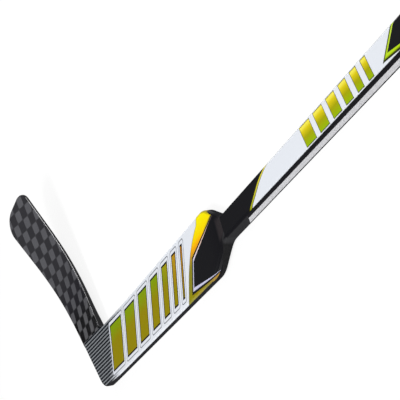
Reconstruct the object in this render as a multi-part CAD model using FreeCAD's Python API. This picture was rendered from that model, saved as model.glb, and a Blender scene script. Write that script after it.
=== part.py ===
import FreeCAD, Part
import math
import os

# Ice hockey goalkeeper's stick, laid on its back. X runs up the shaft from the
# paddle to the butt, Y points to the blade's toe side, Z comes out of the front face.
# Drafting starts at the heel corner on the stick's middle plane. The finished pieces
# then move so that the origin lies on the flat back of the shaft, just above the shoulder.

# Shaft: hollow rectangular tube
stick_length = 1525.0         # heel corner to butt
shaft_width = 31.0
shaft_thickness = 20.2
shaft_wall = 2.3
shaft_corner_radius = 4.0
bore_corner_radius = 2.0

# Paddle: foam and spine between two skins, with a rail down each edge
paddle_width = 89.0
paddle_offset = 1.2           # middle of the paddle from the shaft's axis, toward the toe side
paddle_thickness = 16.0
heel_edge_length = 571.0      # heel corner to where the edge on the heel side turns in
toe_edge_length = 579.0       # heel corner level to where the edge on the toe side turns in
edge_radius = 4.0             # rounding along the paddle's and the shoulder's edges
skin = 1.5
rail_width = 8.0

# Shoulder: block that narrows from the paddle to the shaft
shoulder_length = 83.0        # paddle end of the block to the top of the toe side slope
heel_slope = 27.4             # degrees to the shaft
toe_slope = 30.7
heel_shoulder_radius = 58.0
toe_shoulder_radius = 45.0
heel_neck_radius = 45.0
toe_neck_radius = 10.0
ramp_length = 37.0            # rise from the paddle's face to the shaft's face

# Blade
lie = 115.0                   # degrees between the shaft and the blade's lower edge
blade_length = 405.0          # heel corner to the toe's lower corner
blade_height = 89.0
blade_edge_radius = 2.5       # rounding along the blade's edges
toe_thickness = 6.2
taper_power = 4.2             # how soon the blade thins behind the heel
toe_lean = 0.5                # degrees the toe's end leans back to the heel
toe_lower_radius = 37.0
toe_upper_radius = 24.0
heel_radius = 30.0
notch_radius = 10.0
face_angle = 3.9              # degrees the blade turns forward at the heel
curve_start = 134.0           # the curve's length along the lower edge
curve_end = 287.0
curve_radius = 742.0
twist_start = 60.0
toe_twist = 13.2              # degrees the toe's face opens upward
bend_step = 40.0              # spacing of the control points along the blade's curve

# Joints inside
bond_gap = 0.1                # glue line round tongue, tenon and plug
joint_setback = 40.0          # glue joint of paddle and heel, measured before the heel corner
tongue_width = 20.0
tongue_thickness = 8.0
tongue_length = 60.0
tenon_width = 26.0
tenon_foot = 120.0            # tenon's reach into the paddle, below the shoulder block
tenon_reach = 120.0           # tenon's reach into the shaft
rib_width = 6.0
seam_step = 1.0               # seam of paddle and blade, past the line of the paddle's toe edge
seam_foot = 12.0              # part of the seam that is square to the blade
cap_thickness = 3.0
cap_radius = 1.5
plug_length = 40.0

V = FreeCAD.Vector
far = 2.0 * stick_length
half_paddle = paddle_thickness / 2
half_shaft = shaft_thickness / 2
heel_edge = paddle_offset - paddle_width / 2
toe_edge = paddle_offset + paddle_width / 2
heel_junction = heel_edge_length + (-shaft_width / 2 - heel_edge) / math.tan(math.radians(heel_slope))
toe_junction = toe_edge_length + (toe_edge - shaft_width / 2) / math.tan(math.radians(toe_slope))
shoulder_start = toe_junction - shoulder_length
heel_seat = heel_junction + heel_neck_radius * math.tan(math.radians(heel_slope / 2))
toe_seat = toe_junction + toe_neck_radius * math.tan(math.radians(toe_slope / 2))
cos_lie = math.cos(math.radians(lie))
sin_lie = math.sin(math.radians(lie))


def on_blade(s, h, z=0.0):
    """Point s along the lower edge from the heel corner, h up the blade, z forward."""
    return V(s * cos_lie + h * sin_lie, heel_edge + s * sin_lie - h * cos_lie, z)


def rounded(corners):
    """Closed wire through corners (point, radius), each corner rounded by its radius."""
    starts = []
    middles = []
    ends = []
    for i, (here, radius) in enumerate(corners):
        back = (corners[i - 1][0] - here).normalize()
        ahead = (corners[(i + 1) % len(corners)][0] - here).normalize()
        half = back.getAngle(ahead) / 2
        inward = (back + ahead).normalize()
        starts.append(here + back * (radius / math.tan(half)))
        ends.append(here + ahead * (radius / math.tan(half)))
        middles.append(here + inward * (radius / math.sin(half) - radius))
    edges = []
    for i in range(len(corners)):
        edges.append(Part.LineSegment(ends[i - 1], starts[i]).toShape())
        edges.append(Part.Arc(starts[i], middles[i], ends[i]).toShape())
    return Part.Wire(edges)


def upright(face):
    """Prism of a plan face, tall enough to pass through the whole stick."""
    lowered = face.translated(V(0, 0, -far / 2))
    return lowered.extrude(V(0, 0, far))


def region(points):
    """Prism of a plan polygon, used to divide the stick into its pieces."""
    return upright(Part.Face(Part.makePolygon(points + points[:1])))


def bar(width, thickness, radius, start, length):
    """Straight bar along the shaft's axis with rounded corners."""
    y = width / 2
    z = thickness / 2
    corners = [V(start, -y, -z), V(start, y, -z), V(start, y, z), V(start, -y, z)]
    return Part.Face(rounded([(p, radius) for p in corners])).extrude(V(length, 0, 0))


def block(x0, x1, width, thickness):
    """Square-edged bar along the shaft's axis from x0 to x1."""
    return Part.makeBox(x1 - x0, width, thickness, V(x0, -width / 2, -thickness / 2))


def round_edges(body, wire, radius):
    """Round the edges of front and back that follow the wire, which is the plan outline."""
    edges = []
    for edge in body.Edges:
        middle = edge.valueAt((edge.FirstParameter + edge.LastParameter) / 2)
        middle.z = 0
        level = edge.BoundBox.XLength + edge.BoundBox.YLength > 0.01
        if level and wire.distToShape(Part.Vertex(middle))[0] < 0.01:
            edges.append(edge)
    return body.makeFillet(radius, edges)


# Front and back surfaces of paddle and blade, as heights over the middle plane

def front_height(s):
    along_curve = min(max(s - curve_start, 0), curve_end - curve_start)
    bend = along_curve ** 2 / (2 * curve_radius)
    beyond = max(s - curve_end, 0) * (curve_end - curve_start) / curve_radius
    return half_paddle + max(s, 0) * math.tan(math.radians(face_angle)) + bend + beyond


def back_height(s):
    left = 1 - min(max(s / blade_length, 0), 1)
    return front_height(s) - toe_thickness - (paddle_thickness - toe_thickness) * left ** taper_power


def face_curve(height, h):
    """Smooth line along the blade at height h, flat over the paddle."""
    first = -math.ceil(toe_edge_length / bend_step)
    last = math.ceil(blade_length / bend_step) + 2
    poles = []
    for i in range(first, last + 1):
        s = i * bend_step
        twist = toe_twist * max(s - twist_start, 0) / (blade_length - twist_start)
        poles.append(on_blade(s, h, height(s) - h * math.tan(math.radians(twist))))
    curve = Part.BSplineCurve()
    curve.buildFromPoles(poles)
    return curve.toShape()


def layer(upper, lower):
    """Solid between two heights, wider than the outline of paddle and blade."""
    h0 = -paddle_width
    h1 = toe_edge_length + 2 * paddle_width
    corners = [face_curve(upper, h0), face_curve(upper, h1), face_curve(lower, h1), face_curve(lower, h0)]
    faces = [Part.makeRuledSurface(corners[i - 1], corners[i]) for i in range(4)]
    for end in (0, -1):
        points = [c.Vertexes[end].Point for c in corners]
        faces.append(Part.Face(Part.makePolygon(points + points[:1])))
    shell = Part.Shell(faces)
    shell.sewShape()
    solid = Part.Solid(shell)
    if solid.Volume < 0:
        solid.reverse()
    return solid


# Outline of paddle and blade: heel, toe, notch, and past the paddle's top

toe_lower = on_blade(blade_length, 0)
toe_upper = on_blade(blade_length - blade_height * math.tan(math.radians(toe_lean)), blade_height)
notch = on_blade((toe_edge - heel_edge + blade_height * cos_lie) / sin_lie, blade_height)
outline = rounded([
    (V(toe_edge_length, heel_edge, 0), heel_radius),
    (V(0, heel_edge, 0), heel_radius),
    (toe_lower, toe_lower_radius),
    (toe_upper, toe_upper_radius),
    (notch, notch_radius),
    (V(toe_edge_length, toe_edge, 0), heel_radius),
])
plan = Part.Face(outline)
below_shoulder = region([
    V(-far, -far, 0), V(shoulder_start, -far, 0), V(shoulder_start, far, 0), V(-far, far, 0),
])
body = layer(front_height, back_height).common(upright(plan))

# Skins, rails and rims. The painted skins and the rails run on round the heel, and the
# blade's own skins and rims start a little past the line of the paddle's toe edge. The
# seam between them follows that line and turns square to the blade near its lower edge.

def past_seam(step):
    """Everything on the blade's side of the seam, with the seam moved out to step."""
    seam = toe_edge + step
    turn = (seam - heel_edge + seam_foot * cos_lie) / sin_lie
    return region([
        V(far, seam, 0), on_blade(turn, seam_foot), on_blade(turn, -far),
        on_blade(far, -far), on_blade(far, far), V(far, far, 0),
    ])


toe_side = past_seam(seam_step)
upper_half = region([
    on_blade(-far, blade_height / 2), on_blade(far, blade_height / 2),
    on_blade(far, far), on_blade(-far, far),
])
front_zone = layer(lambda s: front_height(s) + paddle_thickness, lambda s: front_height(s) - skin)
back_zone = layer(lambda s: back_height(s) + skin, lambda s: back_height(s) - paddle_thickness)
paddle_blank = round_edges(body.cut(past_seam(seam_step + 2 * edge_radius)), outline, edge_radius)
blade_blank = round_edges(body.common(past_seam(seam_step - 2 * edge_radius)), outline, blade_edge_radius)
paddle = paddle_blank.cut(toe_side).common(below_shoulder)
blade = blade_blank.common(toe_side)
paddle_middle = paddle.cut([front_zone, back_zone])
blade_middle = blade.cut([front_zone, back_zone])
inner = upright(plan.makeOffset2D(-rail_width))
blade_rims = blade_middle.cut(inner)

pieces = {
    "paddle_front_skin": paddle.common(front_zone),
    "paddle_back_skin": paddle.common(back_zone),
    "blade_front_skin": blade.common(front_zone),
    "blade_back_skin": blade.common(back_zone),
    "blade_top_rim": blade_rims.common(upper_half),
    "blade_bottom_rim": blade_rims.cut(upper_half),
}
paddle_rails = sorted(paddle_middle.cut(inner).Solids, key=lambda solid: solid.CenterOfMass.y)
pieces["paddle_heel_rail"] = paddle_rails[0]
pieces["paddle_toe_rail"] = paddle_rails[-1]

# Blade filling: two foam halves on either side of a rib

rib = region([
    on_blade(-far, (blade_height - rib_width) / 2), on_blade(far, (blade_height - rib_width) / 2),
    on_blade(far, (blade_height + rib_width) / 2), on_blade(-far, (blade_height + rib_width) / 2),
])
blade_filling = blade_middle.common(inner)
pieces["blade_rib"] = blade_filling.common(rib)
pieces["blade_upper_core"] = blade_filling.cut(rib).common(upper_half)
pieces["blade_lower_core"] = blade_filling.cut(rib).cut(upper_half)

# Heel block, with a pocket for the tongue at the spine's lower end

past_joint = region([
    on_blade(-joint_setback, -far), on_blade(far, -far), on_blade(far, far), on_blade(-joint_setback, far),
])
joint_x = (joint_setback - heel_edge * sin_lie) / -cos_lie
tongue = block(joint_x - tongue_length, joint_x + tongue_length, tongue_width, tongue_thickness)
pocket = block(
    joint_x - tongue_length - bond_gap, joint_x + tongue_length,
    tongue_width + 2 * bond_gap, tongue_thickness + 2 * bond_gap,
)
paddle_filling = paddle_middle.common(inner)
pieces["heel_block"] = paddle_filling.common(past_joint).cut(pocket)

# Paddle filling: spine up the middle, foam on either side

spine_width = tenon_width + 2 * bond_gap
tenon_start = shoulder_start - tenon_foot
above_joint = paddle_filling.cut(past_joint)
spine_zone = block(-far, tenon_start, spine_width, far)
slot_zone = block(-far, far, spine_width, far)
pieces["paddle_spine"] = above_joint.common(spine_zone).fuse(tongue).removeSplitter()
paddle_cores = sorted(above_joint.cut(slot_zone).Solids, key=lambda solid: solid.CenterOfMass.y)
pieces["paddle_heel_core"] = paddle_cores[0]
pieces["paddle_toe_core"] = paddle_cores[-1]

# Shoulder block. Its faces rise to the shaft's thickness along a line drawn between
# the two places where its sides run out into the shaft's.

neck_outline = rounded([
    (V(shoulder_start - shoulder_length, heel_edge, 0), heel_radius),
    (V(heel_edge_length, heel_edge, 0), heel_shoulder_radius),
    (V(heel_junction, -shaft_width / 2, 0), heel_neck_radius),
    (V(toe_junction + 2 * shoulder_length, -shaft_width / 2, 0), toe_neck_radius),
    (V(toe_junction + 2 * shoulder_length, shaft_width / 2, 0), toe_neck_radius),
    (V(toe_junction, shaft_width / 2, 0), toe_neck_radius),
    (V(toe_edge_length, toe_edge, 0), toe_shoulder_radius),
    (V(shoulder_start - shoulder_length, toe_edge, 0), heel_radius),
])
seat_heel = V(heel_seat, -shaft_width / 2, 0)
seat_toe = V(toe_seat, shaft_width / 2, 0)
seat_middle = (seat_heel + seat_toe) * 0.5
across = (seat_toe - seat_heel).normalize()
uphill = V(across.y, -across.x, 0)


def in_profile(q, z):
    """Point of the block's side view, q up the shaft from the seat line."""
    return seat_middle - across * far / 2 + uphill * q + V(0, 0, z)


def ramp(side):
    """Rising line of the front (side 1) or back (side -1), from paddle to shaft."""
    low = side * half_paddle
    high = side * half_shaft
    curve = Part.BezierCurve()
    curve.setPoles([
        in_profile(-ramp_length, low), in_profile(-ramp_length / 3, low),
        in_profile(-ramp_length / 6, high), in_profile(0, high),
    ])
    below = Part.LineSegment(in_profile(-far / 2, low), in_profile(-ramp_length, low)).toShape()
    above = Part.LineSegment(in_profile(0, high), in_profile(far / 2, high)).toShape()
    return [below, curve.toShape(), above]


lower_end = Part.LineSegment(in_profile(-far / 2, -half_paddle), in_profile(-far / 2, half_paddle)).toShape()
upper_end = Part.LineSegment(in_profile(far / 2, -half_shaft), in_profile(far / 2, half_shaft)).toShape()
profile = Part.Wire(Part.__sortEdges__(ramp(1) + [upper_end] + ramp(-1) + [lower_end]))
thickened = Part.Face(profile).extrude(across * far)
past_seat = region([
    seat_heel - across * far, seat_heel + across * far,
    seat_heel + across * far + uphill * far, seat_heel - across * far + uphill * far,
])
neck = round_edges(thickened.common(upright(Part.Face(neck_outline))), neck_outline, edge_radius)
tenon_thickness = paddle_thickness - 2 * skin - 2 * bond_gap
slot = block(tenon_start, toe_seat + shoulder_length, spine_width, tenon_thickness + 2 * bond_gap)
pieces["shoulder_block"] = neck.cut([below_shoulder, past_seat, slot])

# Shaft, its tenon, and the cap that closes the butt

bore_width = shaft_width - 2 * shaft_wall
bore_thickness = shaft_thickness - 2 * shaft_wall
tube_start = min(heel_seat, toe_seat) - shaft_width
tube_end = stick_length - cap_thickness
tube = bar(shaft_width, shaft_thickness, shaft_corner_radius, tube_start, tube_end - tube_start)
bore = bar(bore_width, bore_thickness, bore_corner_radius, tube_start, tube_end - tube_start)
pieces["shaft_tube"] = tube.cut(bore).common(past_seat)
tenon_top = toe_seat + tenon_reach
tenon_head = bar(
    bore_width - 2 * bond_gap, bore_thickness - 2 * bond_gap, bore_corner_radius,
    tube_start, tenon_top - tube_start,
).common(past_seat.translated(uphill * bond_gap))
tenon_shank = block(tenon_start + bond_gap, tenon_top, tenon_width, tenon_thickness)
pieces["shaft_tenon"] = tenon_head.fuse(tenon_shank).removeSplitter()
plug = bar(
    bore_width - 2 * bond_gap, bore_thickness - 2 * bond_gap, bore_corner_radius,
    tube_end - plug_length, plug_length,
)
lid = bar(shaft_width, shaft_thickness, shaft_corner_radius, tube_end, cap_thickness)
outer_rim = [e for e in lid.Edges if e.BoundBox.XMin > stick_length - cap_thickness / 2]
pieces["butt_cap"] = plug.fuse(lid.makeFillet(cap_radius, outer_rim)).removeSplitter()

# Move everything to the origin on the shaft's back and write one file per piece

os.makedirs("parts", exist_ok=True)
for name, shape in pieces.items():
    shape.translate(V(-max(heel_seat, toe_seat), 0, half_shaft))
    solids = shape.Solids
    print(name, len(solids), round(shape.Volume), shape.isValid())
    shape = solids[0] if len(solids) == 1 else Part.Compound(solids)
    shape.exportStep("parts/" + name + ".step")
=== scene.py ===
import math

import bpy
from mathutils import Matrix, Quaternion, Vector

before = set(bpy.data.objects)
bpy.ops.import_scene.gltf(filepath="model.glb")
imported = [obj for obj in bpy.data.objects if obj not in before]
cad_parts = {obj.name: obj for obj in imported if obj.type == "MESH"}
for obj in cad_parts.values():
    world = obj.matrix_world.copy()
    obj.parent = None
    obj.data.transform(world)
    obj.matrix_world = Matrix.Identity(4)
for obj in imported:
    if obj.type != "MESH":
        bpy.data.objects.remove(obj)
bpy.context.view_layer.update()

# Foam cores. Blocks of rigid closed-cell foam, cut to fit, fill the paddle, the heel
# and the blade. They are glued to the skins and out of sight on the finished stick.

cell_size = 0.9
cast_mark_size = 40


class Tone:
    """One socket in a material. Arithmetic on it adds the Math nodes that work it out."""

    def __init__(self, socket):
        self.socket = socket

    def node(self, kind, settings, inputs, output=0):
        """Adds a node, sets it up, sets or links its inputs, and gives one of its outputs."""
        tree = self.socket.id_data
        made = tree.nodes.new("ShaderNode" + kind)
        for name, value in settings.items():
            if name == "stops":
                stops = made.color_ramp.elements
                while len(stops) < len(value):
                    stops.new(1)
                for stop, (place, colour) in zip(stops, value):
                    stop.position = place
                    stop.color = colour
            else:
                setattr(made, name, value)
        for name, value in inputs.items():
            if isinstance(value, Tone):
                tree.links.new(value.socket, made.inputs[name])
            else:
                made.inputs[name].default_value = value
        return Tone(made.outputs[output])

    def also(self, output):
        """Another output of the same node."""
        return Tone(self.socket.node.outputs[output])

    def math(self, operation, *others):
        return self.node("Math", {"operation": operation}, dict(enumerate((self, *others))))

    def above(self, edge, soft):
        """Mask that rises from 0 to 1 over the width soft, centred on edge."""
        start = edge - soft / 2
        return self.node("MapRange", {}, {"Value": self, "From Min": start, "From Max": start + soft})

    def below(self, edge, soft):
        """Mask that falls from 1 to 0 over the width soft, centred on edge."""
        return 1 - self.above(edge, soft)

    def over(self, base, top):
        """Colour top where this mask is 1, colour base where it is 0."""
        return self.node("Mix", {"data_type": "RGBA"}, {0: self, 6: base, 7: top}, 2)

    def __add__(self, other):
        return self.math("ADD", other)

    def __sub__(self, other):
        return self.math("SUBTRACT", other)

    def __rsub__(self, other):
        return self.node("Math", {"operation": "SUBTRACT"}, {0: other, 1: self})

    def __mul__(self, other):
        return self.math("MULTIPLY", other)

    def __truediv__(self, other):
        return self.math("DIVIDE", other)

    def __neg__(self):
        return self * -1

    def __abs__(self):
        return self.math("ABSOLUTE")

    def __and__(self, other):
        """The lesser value: where two masks overlap, or the nearer of two shapes."""
        return self.math("MINIMUM", other)

    def __or__(self, other):
        """The greater value: where either mask is, or what two shapes share."""
        return self.math("MAXIMUM", other)

    __radd__ = __add__
    __rmul__ = __mul__


def shade(red, green, blue):
    """Colour as a screen shows it, 0 to 255, turned into the light it stands for."""
    light = [((c / 255 + 0.055) / 1.055) ** 2.4 if c > 10 else c / 3295 for c in (red, green, blue)]
    return (*light, 1)


class Finish:
    """A new material with its shader, and the place on the stick in millimetres."""

    def __init__(self, name, **constants):
        self.material = bpy.data.materials.new(name)
        self.material.use_nodes = True
        tree = self.material.node_tree
        self.shader = tree.nodes["Principled BSDF"]
        for socket, value in constants.items():
            self.shader.inputs[socket.replace("_", " ")].default_value = value
        metres = Tone(tree.nodes.new("ShaderNodeTexCoord").outputs["Object"])
        self.place = metres.node("VectorMath", {"operation": "SCALE"}, {0: metres, "Scale": 1000})
        self.x = self.place.node("SeparateXYZ", {}, {0: self.place})
        self.y = self.x.also("Y")
        self.z = self.x.also("Z")

    def grid(self, lengths):
        """The place counted in lengths: one for all axes, or one each for x, y and z."""
        each = lengths if isinstance(lengths, tuple) else (lengths,) * 3
        return self.place.node("VectorMath", {"operation": "DIVIDE"}, {0: self.place, 1: each})

    def noise(self, lengths, detail):
        """Soft noise whose marks are about as long as lengths, in millimetres."""
        inputs = {"Vector": self.grid(lengths), "Scale": 1.0, "Detail": detail}
        return self.place.node("TexNoise", {}, inputs)

    def set(self, socket, tone):
        self.material.node_tree.links.new(tone.socket, self.shader.inputs[socket])

    def bump(self, height, strength, depth):
        """Raises the surface by height times depth, in millimetres."""
        inputs = {"Height": height, "Strength": strength, "Distance": depth / 1000}
        self.set("Normal", self.place.node("Bump", {}, inputs))

    def on(self, *names):
        """Gives the named pieces this material."""
        for name in names:
            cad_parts[name].data.materials.clear()
            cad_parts[name].data.materials.append(self.material)


foam = Finish("foam", Roughness=0.9, Specular_IOR_Level=0.2)
cells = foam.place.node("TexVoronoi", {}, {"Vector": foam.grid(cell_size), "Scale": 1.0})
cast_marks = foam.noise(cast_mark_size, 3)
foam.set("Base Color", cast_marks.over(shade(214, 196, 148), shade(232, 218, 178)))
foam.bump(cells, 0.5, 0.3)
foam.on("paddle_heel_core", "paddle_toe_core", "heel_block", "blade_upper_core", "blade_lower_core")

# Spine and tenon. Straight-grained wood: the spine runs down the middle of the paddle
# into the heel block, and the tenon joins shaft, shoulder and paddle. Both are glued in.

ring_marks = (180, 5, 5)
ring_count = 9
pore_marks = (14, 0.5, 0.5)

wood = Finish("straight_grained_wood", Specular_IOR_Level=0.3)
rings = wood.noise(ring_marks, 3)
pores = wood.noise(pore_marks, 1)
grain = (rings * ring_count).math("PINGPONG", 1.0) * 0.7 + pores * 0.3
wood.set("Base Color", grain.over(shade(222, 190, 142), shade(176, 132, 82)))
wood.set("Roughness", 0.5 + pores * 0.25)
wood.bump(pores, 0.4, 0.1)
wood.on("paddle_spine", "shaft_tenon")

# Blade skins and the rib between them. Spread-tow carbon cloth: flat bands of fibre, about
# 20 mm wide, cross over and under. It is laid square to the shaft and moulded in resin.

heel_x = -633.5  # up, the distance along the stick, is counted from here
tow_along = 18.4
tow_across = 20.4
weave_turn = math.radians(2.8)
weave_up = 4.3
weave_y = -1.4
ragged_size = 2.5
fibre_length = 30
fibre_width = 0.35
bundle_marks = (22, 26, 40)
painted_contrast_middle = 105
gloss_middle = 110


def carbon(name):
    """Carbon cloth in resin: a chequer of bands whose fibres run along or across, with painted sheen:
    the lengthwise bands are painted light and the crosswise bands dark.
    """
    finish = Finish(name, Specular_IOR_Level=0.05, Coat_Roughness=0.1)
    up = finish.x - heel_x
    y = finish.y
    along = (up * math.cos(weave_turn) + y * math.sin(weave_turn) - weave_up) / tow_along
    across = (y * math.cos(weave_turn) - up * math.sin(weave_turn) - weave_y) / tow_across
    ragged = (finish.noise(ragged_size, 2) - 0.5) * 0.16
    ripple_along = (along * math.pi + ragged).math("COSINE")
    ripple_across = (across * math.pi - ragged).math("COSINE")
    lengthwise = (ripple_along * ripple_across).above(0.06, 0.24)

    fibres_along = finish.noise((fibre_length, fibre_width, fibre_length), 2)
    fibres_across = finish.noise((fibre_width, fibre_length, fibre_length), 2)
    fibres = lengthwise * fibres_along + (1 - lengthwise) * fibres_across
    bundle = finish.noise(bundle_marks, 1)
    shine = fibres * 0.6 + bundle * 0.4

    # Painted sheen and shade: near the notch the light bands are painted brighter and the dark bands
    # darker than towards the toe.
    notch_painted_contrast = y.below(painted_contrast_middle, 40)
    sheen_light_band = shine.over(notch_painted_contrast.over(shade(66, 66, 71), shade(72, 72, 75)),
                            notch_painted_contrast.over(shade(92, 92, 97), shade(102, 102, 105)))
    sheen_dark_band = shine.over(notch_painted_contrast.over(shade(23, 23, 28), shade(5, 5, 7)),
                           notch_painted_contrast.over(shade(36, 35, 42), shade(14, 14, 17)))
    # Painted sheen: the lengthwise bands take the light tones and the crosswise bands the dark ones.
    cloth = lengthwise.over(sheen_dark_band, sheen_light_band)
    seam = (abs(ripple_along) & abs(ripple_across)).below(0.05, 0.1)
    finish.set("Base Color", (seam * 0.5).over(cloth, shade(30, 30, 33)))
    finish.set("Roughness", 0.34 + (1 - lengthwise) * 0.08 + fibres * 0.1)
    finish.bump(fibres * 0.25 - seam, 0.25, 0.15)
    return finish


cloth_skin = carbon("carbon_cloth")
cloth_skin.set("Coat Weight", 0.2 + cloth_skin.y.above(gloss_middle, 120) * 0.62)
cloth_skin.on("blade_front_skin", "blade_back_skin")
carbon("carbon_rib").on("blade_rib")

# Blade rims. Strips of black fibre and resin close the blade's upper and lower edges
# between the two skins. They are sanded round and left dull.

strand_marks = (24, 24, 0.5)
sanding_size = 1.2

rim = Finish("rim_resin", Specular_IOR_Level=0.05, Coat_Weight=0.2, Coat_Roughness=0.12)
strands = rim.noise(strand_marks, 2)
sanding = rim.noise(sanding_size, 3)
rim.set("Base Color", strands.over(shade(16, 16, 18), shade(28, 28, 31)))
rim.set("Roughness", 0.36 + sanding * 0.18)
rim.bump(sanding, 0.15, 0.05)
rim.on("blade_top_rim", "blade_bottom_rim")

# Paddle skins. Glass and carbon laminate over both faces, painted white, with pin stripes round
# the heel, slanted foil bars and a foil border, under a clear coat. Bonded to rails and cores.

white = shade(229, 233, 240)
black = shade(26, 26, 29)
face_height = 18.1
back_height = 2.1
turn_start = -38  # from here on the paint turns over the heel side's edge
turn_share = 0.84
dapple_size = 60

stripe_grey = shade(133, 137, 141)
stripe_dark = shade(25, 28, 35)
stripe_pitch = 5.48
stripe_shift = 0.32
stripe_level = 0.42
stripe_fade = 0.68

bar_start = 88.0
bar_widths = (64, 55, 46, 37, 28, 19, 10)
bar_gap = 20.0
bar_height = 68.0
bar_lean = 0.5
bar_line = 5.4
bar_halo = 4.2
bar_rim = 2.6

bend_up = 480.6
bend_y = -13.2
bend_length = 48.3
bend_slope = 0.745
rise_slope = 0.155
rise_curl = 0.000197
turned_slope = 2.2
round_up = 564.6
round_y = 0.7
round_radius = 45.0
round_turns = (8, 16, 24, 31)
border_end = 606
panel_corner = (477.9, -37.3, 0.705)  # up, y and slope
panel_upper = (4.1, 507.1, 0.25)  # y, up and slope
panel_lower = (-39.4, 480.7, -0.062)

skin_edge = 13.4
heel_shade_start = 90
peel_size = 2.2
print_through_size = 9


def heel_stripes(up, y):
    """White that turns grey towards the heel, with dark pin stripes that widen there."""
    fade_start = 70 + y * 0.71
    fade_length = 78 + y * 0.52
    fade = ((up - fade_start) / fade_length | 0.0) & 1.0
    wave = (y / stripe_pitch + stripe_shift).math("PINGPONG", 0.5) * 2
    lines = (wave - stripe_level - fade * stripe_fade).above(0.0, 0.12)
    return lines.over(fade.over(stripe_grey, white), stripe_dark)


def slanted_bars(up, y, start, widths, gap, height, lean):
    """Distance from a row of slanted bars that get narrower, below 0 inside a bar."""
    slant = up - y * lean
    left = start
    beside = None
    for width in widths:
        off = abs(slant - (left + width / 2)) - width / 2
        beside = off if beside is None else beside & off
        left += width + gap
    beside = beside / math.hypot(1, lean)
    beyond = abs(y) - height / 2
    outside = ((beside | 0.0).math("POWER", 2) + (beyond | 0.0).math("POWER", 2)).math("SQRT")
    return outside + ((beside | beyond) & 0.0)


def foil_bars(up, y, dapple, ground):
    """The row of bars on its ground, with their outlines, and a mask of their foil."""
    gap = slanted_bars(up, y, bar_start, bar_widths, bar_gap, bar_height, bar_lean)
    colour = gap.below(bar_line, 0.5).over(ground, shade(92, 95, 104))
    colour = gap.below(bar_halo, 0.5).over(colour, white)
    colour = gap.below(0.0, 0.5).over(colour, black)
    green = (y / 60 + dapple * 0.3).above(0.42, 0.4)
    warm = ((up - 400) / 110 + y / 90).above(0.5, 0.9)
    foil = warm.over(green.over(shade(150, 136, 8), shade(132, 160, 12)), shade(206, 140, 32))
    mask = gap.below(-bar_rim, 0.5)
    return mask.over(colour, foil), mask


def off_line(value, along, at_value, at_along, slope):
    """Distance from a slanted line through a point, on which value grows by slope with along."""
    return (value - at_value - (along - at_along) * slope) / math.hypot(1, slope)


def foil_border(up, y, turned, dapple, ground):
    """The foil border at the shoulder, the dark panel inside it, and a mask of the foil."""
    # The border's outer edge bends up the paddle, and runs on down over the heel side's edge.
    bend = y - bend_y
    rise = (bend | 0.0) & bend_length
    edge_up = bend_up + bend * bend_slope + rise * rise_slope + rise.math("POWER", 3) * rise_curl
    outer = up - edge_up + turned * turned_slope
    band = outer.above(0.0, 1.0)

    # The paddle's rounded corner on the toe side, as a row of straight cuts.
    toe_rim = y - round_y - round_radius
    for turn in round_turns:
        lean = math.radians(turn)
        cut = (y - round_y) * math.cos(lean) + (up - round_up) * math.sin(lean) - round_radius
        toe_rim = toe_rim | cut

    corner = -off_line(up, y, *panel_corner)
    upper = off_line(y, up, *panel_upper)
    lower = -off_line(y, up, *panel_lower)
    panel = corner | upper | lower

    # Foil: olive on the heel side, then orange, and yellow towards the toe side.
    across_place = y / 60 + 0.3 + dapple * 0.12
    across_foil = across_place.node("ValToRGB", {"stops": (
        (0.00, shade(142, 137, 38)), (0.24, shade(142, 136, 38)), (0.36, shade(166, 143, 44)),
        (0.44, shade(190, 150, 46)), (0.52, shade(228, 162, 30)), (0.60, shade(255, 178, 8)),
        (0.72, shade(255, 220, 2)), (1.00, shade(255, 240, 10)),
    )}, {0: across_place})
    along_place = (up - 470) / 120
    along_foil = along_place.node("ValToRGB", {"stops": (
        (0.00, shade(148, 142, 18)), (0.25, shade(158, 140, 10)), (0.47, shade(138, 130, 20)),
        (0.62, shade(150, 126, 12)), (0.75, shade(172, 132, 30)), (1.00, shade(196, 142, 62)),
    )}, {0: along_place})
    foil = y.below(-35, 2.0).over(across_foil, along_foil)
    colour = band.over(ground, shade(96, 84, 30))
    colour = outer.above(1.6, 1.2).over(colour, foil)
    # Painted shade: the foil is painted a darker olive where it turns over the toe side's rounded edge.
    # It is also darker olive beside the upper part of the panel.
    olive_rim_and_edge_shade = toe_rim.above(-2.6, 3.2) | (panel.below(1.6, 2.4) & y.above(24, 10))
    colour = (band & olive_rim_and_edge_shade).over(colour, shade(158, 142, 34))

    # Panel: a black outline, a pale line that tapers up the paddle, and the black field.
    taper = 4.6 - (up - 490) * 0.045
    line = taper * (1 - y.above(0, 6) * 0.15) | 0.0
    outline = 2.3 + line * 0.25
    inside = band & panel.below(0.0, 0.6)
    pale = inside & (panel + outline).below(0.0, 0.6)
    pale_colour = y.above(4, 12).over(shade(206, 206, 232), shade(255, 222, 205))
    field = (corner - line * 0.3) | upper | lower
    deep = inside & (field + outline + line * 0.9).below(0.0, 0.6)
    colour = inside.over(colour, black)
    colour = pale.over(colour, pale_colour)
    colour = deep.over(colour, black)

    past_rim = (toe_rim + up.above(591, 12) * 2.6).above(0.4, 0.6)
    ended = up.above(border_end, 4.0) | (band & past_rim)
    return ended.over(colour, black), band & panel.above(0.0, 0.6) & (1 - ended)


def paddle_graphics(finish):
    """Paint of the paddle by place: its colour, and a mask of the foil."""
    up = finish.x - heel_x
    drop = (face_height - finish.z) & (finish.z - back_height)
    turned = (drop | 0.0) * finish.y.below(turn_start, 4)
    y = finish.y - turned * turn_share
    dapple = finish.noise(dapple_size, 2)
    colour, bars = foil_bars(up, y, dapple, heel_stripes(up, y))
    colour, border = foil_border(up, y, turned, dapple, colour)
    return colour, bars | border


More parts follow.
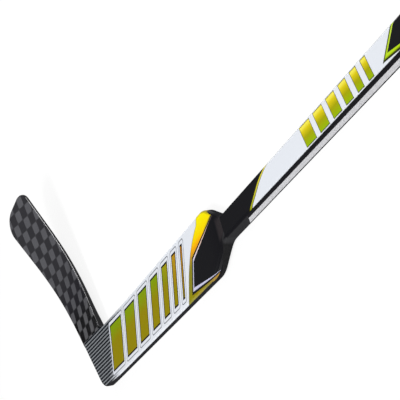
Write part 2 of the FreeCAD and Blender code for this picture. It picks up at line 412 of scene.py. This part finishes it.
def lacquer(finish, colour, foil, dull):
    """Paint, foil and clear coat over a laminate that is not quite flat, with little coat where dull."""
    peel = finish.noise(peel_size, 1)
    print_through = finish.noise(print_through_size, 2)
    finish.set("Base Color", colour)
    finish.set("Metallic", foil * 0.1)
    finish.set("Roughness", 0.36 + print_through * 0.1)
    finish.set("Coat Weight", (0.5 - foil * 0.3) * (1 - dull * 0.95))
    finish.bump(peel * 0.4 + print_through * 0.6, 0.12, 0.06)


def edge_mask(finish, edge_line):
    """Bare black edge of the laminate, up to the height edge_line, painted higher round the heel as
    painted shade on its rounded corner.
    """
    # Painted shade: towards the heel the black edge is painted higher, for the shade on the heel's
    # rounded corner.
    heel_shade_rise = (heel_x + heel_shade_start - finish.x) | 0.0
    return (finish.z - edge_line - heel_shade_rise * 0.06).below(0.0, 0.4)


skin_paint = Finish("skin_paint", Specular_IOR_Level=0.0, Coat_Roughness=0.06)
face_colour, face_foil = paddle_graphics(skin_paint)
edge = edge_mask(skin_paint, skin_edge) & skin_paint.z.above(10, 1)
lacquer(skin_paint, edge.over(face_colour, black), face_foil, edge)
skin_paint.on("paddle_front_skin", "paddle_back_skin")

# Paddle rails. Tough strips of laminate down both edges of the paddle, which take the knocks.
# The face's paint turns over the corner, and the rest of the edge is black.

scuff_marks = (6, 6, 1.5)

rail_paint = Finish("rail_paint", Specular_IOR_Level=0.0, Coat_Roughness=0.06)
face_colour, face_foil = paddle_graphics(rail_paint)
scuffs = rail_paint.noise(scuff_marks, 3)
edge = edge_mask(rail_paint, skin_edge)
edge_colour = scuffs.over(shade(24, 25, 28), shade(44, 45, 48))
lacquer(rail_paint, edge.over(face_colour, edge_colour), face_foil & (1 - edge), edge)
rail_paint.on("paddle_heel_rail", "paddle_toe_rail")

# Shoulder block. A moulding that narrows from the paddle to the shaft, black with a duller side,
# bonded over the tenon. The foil border of the paddle ends on it. Its ramp has a painted
# highlight, and its side wall is painted lighter near the shaft and darker lower down.

mould_size = 5
shoulder_edge = 12.2
wall_start = (-43.3, 568.9)  # y and up
wall_slope = 0.518
wall_depth = 4.0
side_height = 9.3
side_climb = 0.377
ramp_highlight_start = 611
ramp_highlight_middle = 3
ramp_highlight_width = 26
wall_light_start = 619.5
dull_middle = 588

shoulder_paint = Finish("shoulder_paint", Specular_IOR_Level=0.0, Coat_Roughness=0.06)
face_colour, face_foil = paddle_graphics(shoulder_paint)
up = shoulder_paint.x - heel_x
y = shoulder_paint.y
mould = shoulder_paint.noise(mould_size, 3)
edge = edge_mask(shoulder_paint, shoulder_edge)
edge_colour = mould.over(shade(24, 24, 27), shade(32, 32, 35))
colour = edge.over(face_colour, edge_colour)
# Painted highlight: a lighter patch on the ramp up to the shaft.
ramp_highlight = up.above(ramp_highlight_start, 8) & abs(y - ramp_highlight_middle).below(ramp_highlight_width / 2, 8) & (1 - edge)
colour = ramp_highlight.over(colour, mould.over(shade(40, 37, 39), shade(56, 52, 54)))
side_line = shoulder_paint.z - side_height - (y + 40) * side_climb
wall = y - wall_start[0] - (up - wall_start[1]) * wall_slope
side = side_line.below(0.0, 0.5) & wall.below(wall_depth, 0.5)
# Painted light and shade on the black side wall: lighter grey near the shaft, darker lower down.
wall_painted_shade = mould.over(shade(30, 30, 31), shade(42, 42, 43))
wall_painted_light = mould.over(shade(48, 48, 50), shade(58, 58, 60))
colour = side.over(colour, up.above(wall_light_start, 5.0).over(wall_painted_shade, wall_painted_light))
dull = edge | side | up.above(dull_middle, 40)
lacquer(shoulder_paint, colour, face_foil & (1 - edge), dull)
shoulder_paint.on("shoulder_block")

# Shaft. A hollow tube of wound carbon and glass, painted white between black ends, with
# foil lines, slanted foil bars, and a grey panel along each side.

shaft_bar_start = 896.0
shaft_bar_widths = (27, 24, 21, 18, 15, 12)
shaft_bar_gap = 10.0
shaft_bar_height = 26.0
shaft_bar_lean = -0.25
shaft_bar_rim = 0.9
neck_end = (744.0, -7, 2.05)  # up, y and slope
chevron_slope = (1088.0, -10.0, 1.27)
chevron_level = (-10.3, 1088.5, -0.087)  # y, up and slope
head_level = (-5.9, 1098.9, -0.143)
chevron_width = 3.2
corner_y = 13.5
corner_top = 19.4
corner_bottom = 0.8
flank_y = 15.2
side_start = (700, 13.6)  # up and height
side_dark_top = 18.2
side_top = 13.4
side_bottom = 4.6

shaft_paint = Finish("shaft_paint", Specular_IOR_Level=0.0, Coat_Roughness=0.06)
up = shaft_paint.x - heel_x
y = shaft_paint.y
z = shaft_paint.z
across = y / 30 + 0.5

gap = slanted_bars(
    up, y, shaft_bar_start, shaft_bar_widths, shaft_bar_gap, shaft_bar_height, shaft_bar_lean,
)
bar = gap.below(-shaft_bar_rim, 0.4)
bar_foil = across.node("ValToRGB", {"stops": (
    (0.05, shade(150, 190, 10)), (0.45, shade(170, 168, 14)), (0.7, shade(226, 206, 26)),
    (0.85, shade(255, 244, 90)), (1.0, shade(190, 170, 30)),
)}, {0: across})
colour = gap.below(0.0, 0.4).over(white, shade(70, 68, 34))
colour = bar.over(colour, bar_foil)

# The black neck, and the gold line between it and the white.
neck_bend = ((y - 3) | 0.0).math("POWER", 2) * 0.1
neck_line = off_line(up - neck_bend, y, *neck_end)
neck = neck_line.below(0.0, 0.5)
neck_gold = across.over(shade(158, 168, 20), shade(255, 240, 80))
neck_dark = neck_line.below(-5.0, 0.8)
colour = neck.over(colour, shade(70, 66, 20))
colour = neck_line.below(-1.2, 0.5).over(colour, neck_gold)
colour = neck_line.below(-3.8, 0.5).over(colour, shade(64, 58, 8))
colour = neck_dark.over(colour, black)

# The black upper end, and the lime chevron between it and the white.
slope_arm = -off_line(up, y, *chevron_slope)
level_arm = -off_line(y, up, *chevron_level)
head_arm = -off_line(y, up, *head_level)
chevron = slope_arm | level_arm
within = slope_arm | (level_arm + 0.8)
lime = within.below(-0.5, 0.4)
lime_colour = (y / 20 + 0.5).over(shade(188, 224, 24), shade(210, 238, 84))
lime_colour = within.above(-1.5, 1.2).over(lime_colour, shade(138, 162, 16))
head_dark = ((slope_arm + chevron_width) | head_arm).below(0.0, 0.4)
colour = chevron.below(0.7, 0.4).over(colour, shade(44, 50, 18))
colour = lime.over(colour, lime_colour)
colour = head_dark.over(colour, black)

# The black sides, each with its grey panel, which starts on a slant.
flank = abs(y).above(flank_y, 0.3)
edge = abs(y).above(corner_y, 0.6) & z.below(corner_top, 0.4) & z.above(corner_bottom, 0.4)
side_line = (up - side_start[0]) / 2 - (z - side_start[1])
side_dark = flank & side_line.below(0.0, 0.5) & z.below(side_dark_top, 0.4)
side_panel = flank & side_line.above(0.0, 0.5) & z.below(side_top, 0.3) & z.above(side_bottom, 0.3)
colour = edge.over(colour, black)
colour = side_dark.over(colour, shade(46, 46, 48))
colour = side_panel.over(colour, shade(206, 206, 209))

foil = (bar | lime | neck) & (1 - (neck_dark | head_dark | edge))
lacquer(shaft_paint, colour, foil, edge | (neck_dark & abs(y).above(11.5, 1.0)))
shaft_paint.on("shaft_tube")

# Butt cap. A moulded plug pushed and glued into the open end of the shaft, with a thin
# lid that covers the tube's rim.

spark_size = 0.5

cap_plastic = Finish("cap_plastic", Specular_IOR_Level=0.4)
spark = cap_plastic.noise(spark_size, 2)
cap_plastic.set("Base Color", spark.over(shade(26, 26, 27), shade(40, 40, 41)))
cap_plastic.set("Roughness", 0.5 + spark * 0.2)
cap_plastic.bump(spark, 0.4, 0.08)
cap_plastic.on("butt_cap")

# Studio. A pale floor under the stick, a dim sky that is brighter near the horizon and overhead,
# and two broad lamps. The camera and the gloss see the floor as white, with a faint shadow.

floor_half = 30.0
floor_drop = 0.0005
floor_corners = [
    (-floor_half, -floor_half, 0), (floor_half, -floor_half, 0),
    (floor_half, floor_half, 0), (-floor_half, floor_half, 0),
]
floor_mesh = bpy.data.meshes.new("studio_floor")
floor_mesh.from_pydata(floor_corners, [], [(0, 1, 2, 3)])
floor = bpy.data.objects.new("studio_floor", floor_mesh)
bpy.context.scene.collection.objects.link(floor)
floor.location.z = -floor_drop

floor_finish = bpy.data.materials.new("studio_floor")
floor_finish.use_nodes = True
tree = floor_finish.node_tree
tree.nodes.clear()
rays = Tone(tree.nodes.new("ShaderNodeLightPath").outputs["Is Camera Ray"])
seen = rays | rays.also("Is Glossy Ray") | rays.also("Is Transmission Ray")
speckle = rays.node("TexNoise", {}, {"Scale": 40.0})
floor_colour = speckle.over((0.84, 0.84, 0.84, 1), (0.86, 0.86, 0.86, 1))
plain = rays.node("BsdfDiffuse", {}, {"Color": floor_colour})
faint = rays.node("BsdfDiffuse", {}, {"Color": (0.17, 0.17, 0.17, 1)})
glow = rays.node("Emission", {}, {"Color": (1, 1, 1, 1), "Strength": 0.87})
lit = rays.node("AddShader", {}, {0: faint, 1: glow})
surface = rays.node("MixShader", {}, {0: seen, 1: plain, 2: lit})
tree.links.new(surface.socket, tree.nodes.new("ShaderNodeOutputMaterial").inputs["Surface"])
floor_mesh.materials.append(floor_finish)

world = bpy.data.worlds.new("studio")
bpy.context.scene.world = world
world.use_nodes = True
tree = world.node_tree
tree.nodes.clear()
direction = Tone(tree.nodes.new("ShaderNodeTexCoord").outputs["Generated"])
height = direction.node("SeparateXYZ", {}, {0: direction}).also("Z")
overhead = height.node("MapRange", {}, {
    "Value": height, "From Min": 0.45, "From Max": 1.0, "To Min": 0.05, "To Max": 0.5,
})
horizon = height.node("MapRange", {}, {
    "Value": height, "From Min": 0.08, "From Max": 0.18, "To Min": 2.0, "To Max": 0.0,
})
sky = height.node("Background", {}, {"Color": (1, 1, 1, 1), "Strength": overhead + horizon})
tree.links.new(sky.socket, tree.nodes.new("ShaderNodeOutputWorld").inputs["Surface"])


def lamp(name, place, aim, size, power):
    """A round lamp of this size in metres and power in watts, turned towards aim."""
    light = bpy.data.lights.new(name, "AREA")
    light.shape = "DISK"
    light.size = size
    light.energy = power
    made = bpy.data.objects.new(name, light)
    made.location = place
    made.rotation_mode = "QUATERNION"
    made.rotation_quaternion = (Vector(aim) - Vector(place)).to_track_quat("-Z", "Y")
    bpy.context.scene.collection.objects.link(made)


middle = (-0.2, 0.05, 0.0)
lamp("key_lamp", (0.2, -1.7, 2.4), middle, 1.6, 60)
lamp("fill_lamp", (0.22, 2.26, 1.35), middle, 1.0, 36)

# Camera. It stands beyond the butt, on the heel side, and looks down along the stick to the
# paddle. It is turned so that the shaft runs to the picture's upper right corner.

eye = Vector((1.4234, -0.47783, 0.65723))
target = Vector((-0.05237, 0.05746, 0.0181))
roll = math.radians(-96.496)
camera = bpy.data.objects.new("camera", bpy.data.cameras.new("camera"))
camera.data.sensor_width = 36.0
camera.data.lens = 117.723
camera.location = eye
camera.rotation_mode = "QUATERNION"
camera.rotation_quaternion = (target - eye).to_track_quat("-Z", "Y") @ Quaternion((0, 0, 1), roll)
bpy.context.scene.collection.objects.link(camera)
bpy.context.scene.camera = camera
bpy.context.scene.view_settings.view_transform = "Standard"
